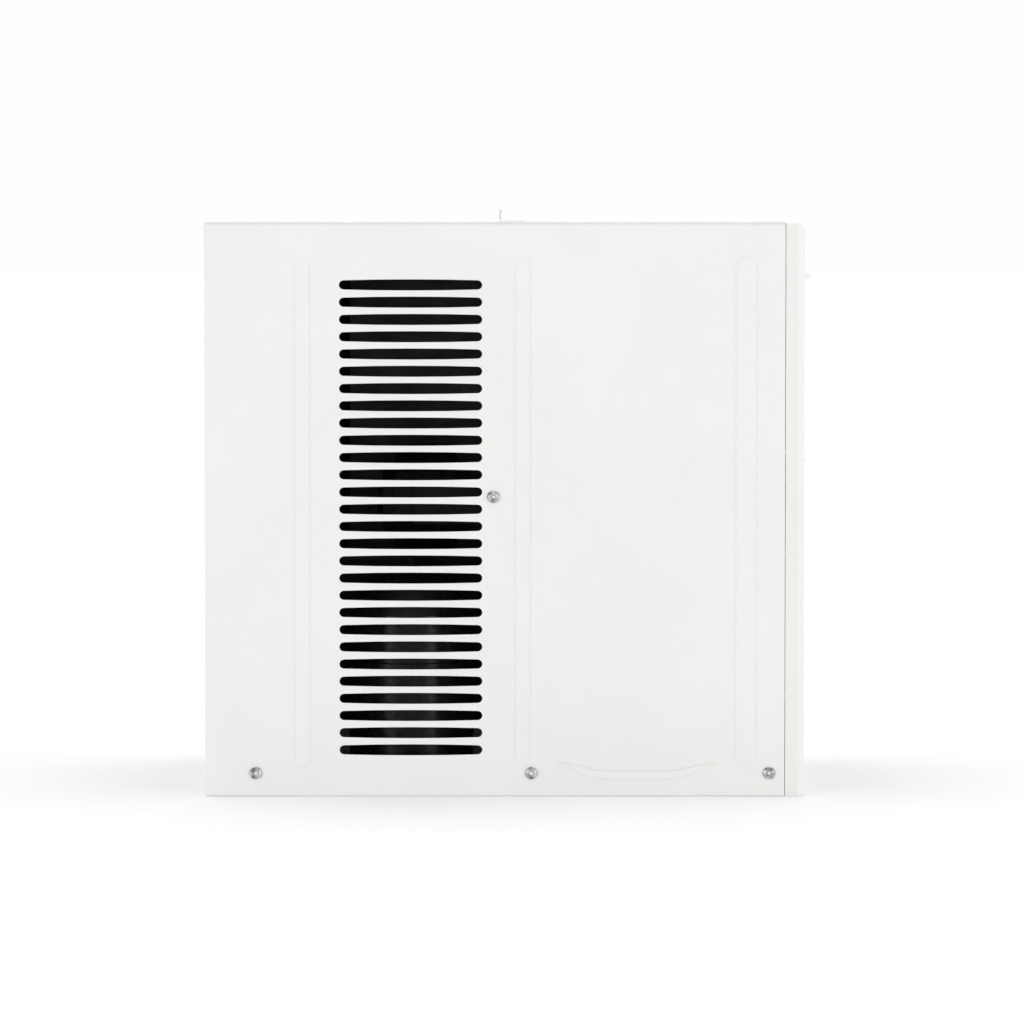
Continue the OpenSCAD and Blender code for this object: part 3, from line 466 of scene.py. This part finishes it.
def softened(node, width, segments=2, limit=32, sharp=34, split=False):
    """A copy of a CAD node with its edges over limit degrees rounded, which stands for it.

    Flat faces with holes come out of the rounding filled, unless split cuts them up first.
    """
    src = NODES[node]
    bm = bmesh.new()
    bm.from_mesh(src.data)
    bmesh.ops.remove_doubles(bm, verts=bm.verts, dist=SAME_POINT)
    bmesh.ops.dissolve_limit(bm, angle_limit=math.radians(0.6), verts=bm.verts, edges=bm.edges,
                             delimit={"NORMAL"})
    if split:
        bmesh.ops.triangulate(bm, faces=[f for f in bm.faces if len(f.verts) > 4])
    mesh = bpy.data.meshes.new(node + "_mesh")
    bm.to_mesh(mesh)
    bm.free()
    material = src.material_slots[0].material
    obj = piece(node + "_finished", mesh, BODY[node], material)
    edge = obj.modifiers.new("edge", "BEVEL")
    edge.width = width
    edge.segments = segments
    edge.limit_method = "ANGLE"
    edge.angle_limit = math.radians(limit)
    edge.use_clamp_overlap = True
    edge.miter_outer = "MITER_ARC"
    bake(obj)
    smooth_by_angle(obj.data, sharp)
    flat = obj.modifiers.new("flat", "WEIGHTED_NORMAL")
    flat.mode = "FACE_AREA"
    flat.weight = 100
    flat.keep_sharp = True
    bake(obj)
    obj.data.materials.clear()
    obj.data.materials.append(material)
    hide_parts(node)


def boxes(name, corners, body, material):
    """One mesh of many small blocks, each given by its two corners."""
    verts, faces = [], []
    quads = ((0, 2, 3, 1), (4, 5, 7, 6), (0, 1, 5, 4), (2, 6, 7, 3), (0, 4, 6, 2), (1, 3, 7, 5))
    for lo, hi in corners:
        n = len(verts)
        verts += [((hi if i & 1 else lo)[0], (hi if i & 2 else lo)[1], (hi if i & 4 else lo)[2])
                  for i in range(8)]
        faces += [tuple(n + k for k in q) for q in quads]
    mesh = bpy.data.meshes.new(name)
    mesh.from_pydata(verts, [], faces)
    mesh.update()
    return piece(name, mesh, body, material)


# ---------------------------------------------------------------- camera and light

PICTURE_WIDTH = 0.9448448          # metres across the picture, at the near side wall
SENSOR = 36
DISTANCE = 5.0
PITCH = math.radians(2.9)          # how far the camera looks down
target = Vector((-SHELL_X, -0.00685, 0.2630))
camera = bpy.data.cameras.new("camera")
camera.sensor_width = SENSOR
camera.lens = DISTANCE / PICTURE_WIDTH * SENSOR
cam = bpy.data.objects.new("camera", camera)
scene.collection.objects.link(cam)
cam.location = target + Vector((-math.cos(PITCH), 0, math.sin(PITCH))) * DISTANCE
cam.rotation_mode = "QUATERNION"
cam.rotation_quaternion = (target - cam.location).to_track_quat("-Z", "Y")
camera.clip_start, camera.clip_end = 0.05, 200
scene.camera = cam

scene.view_settings.view_transform = "Standard"
scene.view_settings.look = "None"

HORIZON_LIGHT, ZENITH_LIGHT = 0.99, 0.70
HORIZON_END, ZENITH_START = 0.10, 0.70       # as heights on the sky's unit sphere


def make_sky():
    """A white sky that is greyer overhead."""
    world = bpy.data.worlds.new("studio")
    scene.world = world
    world.use_nodes = True
    tree = world.node_tree
    background = tree.nodes["Background"]
    background.inputs["Color"].default_value = (1, 1, 1, 1)
    toward = tree.nodes.new("ShaderNodeTexCoord")
    height = tree.nodes.new("ShaderNodeSeparateXYZ")
    dim = tree.nodes.new("ShaderNodeMapRange")
    for i, v in enumerate((HORIZON_END, ZENITH_START, HORIZON_LIGHT, ZENITH_LIGHT)):
        dim.inputs[i + 1].default_value = v
    tree.links.new(toward.outputs["Generated"], height.inputs[0])
    tree.links.new(height.outputs["Z"], dim.inputs[0])
    tree.links.new(dim.outputs[0], background.inputs["Strength"])


make_sky()

LOW = 0.08               # how high the low lights stand, for a sideways reach of about 1


def soft_sun(name, toward, strength, angle):
    light = bpy.data.lights.new(name, "SUN")
    light.energy = strength
    light.angle = math.radians(angle)
    obj = bpy.data.objects.new(name, light)
    scene.collection.objects.link(obj)
    obj.rotation_mode = "QUATERNION"
    obj.rotation_quaternion = (-Vector(toward)).to_track_quat("-Z", "Y")
    obj.location = Vector(toward).normalized() * 5


soft_sun("overhead_softbox", (0.25, 0, 1), 1.05, 54)
soft_sun("front_left", (-0.75, -0.66, LOW), 0.75, 14)
soft_sun("rear_left", (-0.75, 0.66, LOW), 0.65, 14)
soft_sun("front", (0.1, -1, LOW), 0.5, 14)
soft_sun("rear", (0.1, 1, LOW), 0.25, 14)
soft_sun("right", (1, 0, LOW), 0.5, 14)


FLOOR_GLOW = 0.27        # the light table's own share of the floor's brightness
FLOOR_Z = -0.0004        # just under the base


def floor_material():
    s = Shader("studio_floor", (0.665, 0.665, 0.665), 0.9, Specular_IOR_Level=0.0,
               Emission_Strength=FLOOR_GLOW)
    s.to_color(s.shade(0.004, s.noise(1.3, 2)))
    return s.m


def make_floor():
    mesh = bpy.data.meshes.new("floor")
    bm = bmesh.new()
    bmesh.ops.create_grid(bm, x_segments=8, y_segments=8, size=80)
    bm.to_mesh(mesh)
    bm.free()
    mesh.materials.append(floor_material())
    obj = bpy.data.objects.new("floor", mesh)
    scene.collection.objects.link(obj)
    obj.location = (0, 0, FLOOR_Z)


make_floor()

# ---------------------------------------------------------------- finished pieces

softened("cabinet_wrapper", 0.00035, 2, limit=60, sharp=20)
softened("top_rail", 0.0003, 2)
softened("front_bezel", 0.0007, 3, split=True)
softened("control_panel", 0.0006, 3)
softened("intake_grille", 0.0006, 2)
softened("mode_knob", 0.0011, 3, split=True)
softened("thermostat_knob", 0.0011, 3, split=True)
softened("vent_pull", 0.0008, 3)
for i in range(1, 5):
    softened(f"vane_{i}", 0.0005, 2)
for i in range(1, 7):
    softened(f"deflector_{i}", 0.0004, 2, split=True)
softened("filter_frame", 0.0004, 2, split=True)
softened("rear_guard", 0.00025, 2)
softened("base_pan", 0.0004, 2)
softened("cord_bushing", 0.0005, 2)
softened("rail_screws", 0.0001, 2)


def solids_of(node):
    """The low and high corner of each separate solid of a CAD node."""
    bm = bmesh.new()
    bm.from_mesh(NODES[node].data)
    bmesh.ops.remove_doubles(bm, verts=bm.verts, dist=SAME_POINT)
    seen, found = set(), []
    for start in bm.verts:
        if start in seen:
            continue
        seen.add(start)
        stack, points = [start], []
        while stack:
            v = stack.pop()
            points.append(v.co.copy())
            for e in v.link_edges:
                other = e.other_vert(v)
                if other not in seen:
                    seen.add(other)
                    stack.append(other)
        found.append((Vector([min(p[k] for p in points) for k in range(3)]),
                      Vector([max(p[k] for p in points) for k in range(3)])))
    bm.free()
    return found


HEAD_H = 0.0028          # height of a pan head
HEAD_EDGE = 0.0012       # height of its upright edge
RECESS_R = 0.0036        # reach of the arms of its cross recess
RECESS_D = 0.0015        # depth of the recess
RECESS_STAR = 0.52       # 2 would make the recess round, 1 square, less draws its arms thinner
RECESS_SLOPE = 0.6       # share of the reach that slopes down to the bottom


def recess_depth(u, v):
    """0 outside the cross recess, up to 1 in its middle: a star with narrow arms."""
    s = (abs(u) ** RECESS_STAR + abs(v) ** RECESS_STAR) ** (1 / RECESS_STAR) / RECESS_R
    t = min(max((1 - s) / RECESS_SLOPE, 0), 1)
    return t * t * (3 - 2 * t)


def pan_heads(node, around=64, rings=18, shank=0.002):
    """Domed screws with a tapered cross recess, one for each solid of the CAD node, with a painted
    highlight in the recess carried by a mesh attribute.
    """
    verts, faces, painted_glint = [], [], []
    for lo, hi in solids_of(node):
        size = hi - lo
        axis = min(range(2), key=lambda k: size[k])
        side = -1 if axis == 0 and hi.x < 0 else 1
        out = Vector([side if k == axis else 0 for k in range(3)])
        up = Vector((0, 0, 1))
        across = up.cross(out)
        radius, length = size.z / 2, size[axis]
        foot = (lo + hi) / 2 + out * (length / 2 - HEAD_H)
        first = len(verts)

        def ring(r, height, glint=0.0):
            for k in range(around):
                a = 2 * math.pi * k / around
                verts.append(foot + across * (r * math.cos(a)) + up * (r * math.sin(a)) + out * height)
                painted_glint.append(glint)

        ring(shank, HEAD_H - length)
        ring(shank, 0)
        ring(radius, 0)
        for i in range(rings):
            r = radius * (1 - i / rings)
            dome = HEAD_EDGE + (HEAD_H - HEAD_EDGE) * (1 - (r / radius) ** 5) ** 0.5
            for k in range(around):
                a = 2 * math.pi * k / around
                u, v = r * math.cos(a), r * math.sin(a)
                deep = recess_depth(u, v)
                verts.append(foot + across * u + up * v + out * (dome - RECESS_D * deep))
                painted_glint.append(min(1.0, deep * 1.6))
        count = 3 + rings
        for i in range(count - 1):
            for k in range(around):
                a, b = first + i * around + k, first + i * around + (k + 1) % around
                faces.append((a, b, b + around, a + around))
        tip, middle = len(verts), len(verts) + 1
        verts += [foot + out * (HEAD_H - length), foot + out * (HEAD_H - RECESS_D)]
        painted_glint += [0.0, 1.0]
        last = first + (count - 1) * around
        for k in range(around):
            m = (k + 1) % around
            faces.append((first + m, first + k, tip))
            faces.append((last + k, last + m, middle))
    mesh = bpy.data.meshes.new(node + "_domed")
    mesh.from_pydata(verts, [], faces)
    mesh.update()
    # the recess attribute carries the painted highlight
    glint = mesh.attributes.new("recess", "FLOAT", "POINT")
    glint.data.foreach_set("value", painted_glint)
    smooth_by_angle(mesh, 50)
    obj = piece(node + "_domed", mesh, BODY[node], MATERIALS[SLOT[node]])
    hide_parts(node)


pan_heads("cabinet_screws")


FIN_HALF = 0.00009       # half the thickness of a fine fin
RIPPLE = 0.00035         # how far its ripples swing to each side
RIPPLES = 6


def fine_fins(node, count, name):
    """Many thin rippled plates in place of the CAD node's few thick ones."""
    lo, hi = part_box(node)
    verts, faces = [], []
    for i in range(count):
        x = lo.x + (hi.x - lo.x) * i / (count - 1)
        n = len(verts)
        for k in range(RIPPLES + 1):
            y = lo.y + (hi.y - lo.y) * k / RIPPLES
            dx = RIPPLE * (1 if k % 2 else -1)
            for z in (lo.z, hi.z):
                for half in (-FIN_HALF, FIN_HALF):
                    verts.append((min(max(x + dx + half, lo.x), hi.x), y, z))
        for k in range(RIPPLES):
            a, b = n + 4 * k, n + 4 * (k + 1)
            faces += [(a, b, b + 2, a + 2), (a + 1, a + 3, b + 3, b + 1),
                      (a, a + 1, b + 1, b), (a + 2, b + 2, b + 3, a + 3)]
        e = n + 4 * RIPPLES
        faces += [(n, n + 2, n + 3, n + 1), (e, e + 1, e + 3, e + 2)]
    mesh = bpy.data.meshes.new(name)
    mesh.from_pydata(verts, [], faces)
    mesh.update()
    obj = piece(name, mesh, BODY[node], MATERIALS["fin_aluminium"])
    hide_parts(node)


fine_fins("condenser_fins", 150, "condenser_fine_fins")
fine_fins("evaporator_fins", 150, "evaporator_fine_fins")


WINDOW_X, WINDOW_Z = -0.1609, 0.0201         # low corner of the filter frame's first window
PITCH_X, PITCH_Z = 0.112, 0.0675             # from one window to the next
WINDOW_W, WINDOW_H = 0.1078, 0.0633
GAPS_X, GAPS_Z = 49, 29                      # openings of the net across and up a window
STRAND = 0.0002                              # half the width of a strand
STRAND_OUT, STRAND_IN = 0.00025, 0.00003     # how far it reaches away from and into its neighbours


def woven_net():
    """Crossing strands in each window of the filter frame."""
    lo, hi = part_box("filter_mesh")
    y = (lo.y + hi.y) / 2
    strands = []
    for i in range(3):
        for k in range(4):
            x0 = WINDOW_X + i * PITCH_X
            x1 = x0 + WINDOW_W
            z0 = WINDOW_Z + k * PITCH_Z
            z1 = z0 + WINDOW_H
            for j in range(1, GAPS_X):
                x = x0 + (x1 - x0) * j / GAPS_X
                strands.append(((x - STRAND, y - STRAND_OUT, z0), (x + STRAND, y + STRAND_IN, z1)))
            for j in range(1, GAPS_Z):
                z = z0 + (z1 - z0) * j / GAPS_Z
                strands.append(((x0, y - STRAND_IN, z - STRAND), (x1, y + STRAND_OUT, z + STRAND)))
    net = boxes("filter_net", strands, "filter", MATERIALS["filter_net"])
    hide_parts("filter_mesh")


woven_net()


# ---------------------------------------------------------------- printed marks

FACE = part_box("control_panel")[0].y
MODE_X, THERMO_X, CONTROL_Z = -0.040, 0.060, 0.355
MARK_OUT = 0.00006       # how far a printed stroke stands out of the face
MARK_IN = 0.0001         # and how far it goes in
TICK_FROM, TICK_TO, TICK_WIDTH = 0.0234, 0.0256, 0.0007
NUMBER_AT, NUMBER_SIZE = 0.0287, 0.0052


def dial_point(cx, angle, radius):
    a = math.radians(angle)
    return cx + radius * math.sin(a), CONTROL_Z + radius * math.cos(a)


def ticks(name, cx, angles):
    """Short printed strokes round a dial; angles are clockwise from the top, as seen from the front."""
    verts, faces = [], []
    for a in angles:
        (x0, z0), (x1, z1) = dial_point(cx, a, TICK_FROM), dial_point(cx, a, TICK_TO)
        d = Vector((x1 - x0, z1 - z0)).normalized()
        nx, nz = -d.y * TICK_WIDTH / 2, d.x * TICK_WIDTH / 2
        n = len(verts)
        for y in (FACE - MARK_OUT, FACE + MARK_IN):
            verts += [(x0 - nx, y, z0 - nz), (x1 - nx, y, z1 - nz),
                      (x1 + nx, y, z1 + nz), (x0 + nx, y, z0 + nz)]
        faces += [(n, n + 1, n + 2, n + 3), (n + 7, n + 6, n + 5, n + 4)]
        faces += [(n + k, n + 4 + k, n + 4 + (k + 1) % 4, n + (k + 1) % 4) for k in range(4)]
    mesh = bpy.data.meshes.new(name)
    mesh.from_pydata(verts, [], faces)
    bm = bmesh.new()
    bm.from_mesh(mesh)
    bmesh.ops.recalc_face_normals(bm, faces=bm.faces)
    bm.to_mesh(mesh)
    bm.free()
    return piece(name, mesh, "cabinet", INK)


def numeral(name, text, cx, angle):
    """A dial number as a thin mesh standing on the panel's face."""
    curve = bpy.data.curves.new(name, "FONT")
    curve.body = text
    curve.size = NUMBER_SIZE
    curve.align_x = "CENTER"
    curve.align_y = "CENTER"
    curve.extrude = 0.00004
    tmp = bpy.data.objects.new(name + "_tmp", curve)
    scene.collection.objects.link(tmp)
    bpy.context.view_layer.update()
    mesh = bpy.data.meshes.new_from_object(tmp.evaluated_get(bpy.context.evaluated_depsgraph_get()))
    bpy.data.objects.remove(tmp)
    x, z = dial_point(cx, angle, NUMBER_AT)
    upright = Matrix.Rotation(math.radians(90), 4, "X")
    mesh.transform(Matrix.Translation((x, FACE - 0.00002, z)) @ upright)
    return piece(name, mesh, "cabinet", INK)


MODE_ANGLES = [i * 50 for i in range(7)]
THERMO_ANGLES = [-135 + i * 33.75 for i in range(9)]
ticks("mode_ticks", MODE_X, MODE_ANGLES)
ticks("thermostat_ticks", THERMO_X, THERMO_ANGLES)
for i, a in enumerate(MODE_ANGLES):
    numeral(f"mode_number_{i}", str(i), MODE_X, a)
for i, a in enumerate(THERMO_ANGLES):
    numeral(f"thermostat_number_{i}", str(i + 1), THERMO_X, a)


POINTER_HALF = 0.0007    # half the width of the line
POINTER_FROM, POINTER_TO = 0.002, 0.0145


def pointer(node, cx, body):
    """A painted line along the top half of a knob's grip bar."""
    lo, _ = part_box(node)
    low = (cx - POINTER_HALF, lo.y - 0.00005, CONTROL_Z + POINTER_FROM)
    high = (cx + POINTER_HALF, lo.y + 0.0002, CONTROL_Z + POINTER_TO)
    boxes(node + "_pointer", [(low, high)], body, INK)


pointer("mode_knob", MODE_X, "mode_control")
pointer("thermostat_knob", THERMO_X, "thermostat_control")
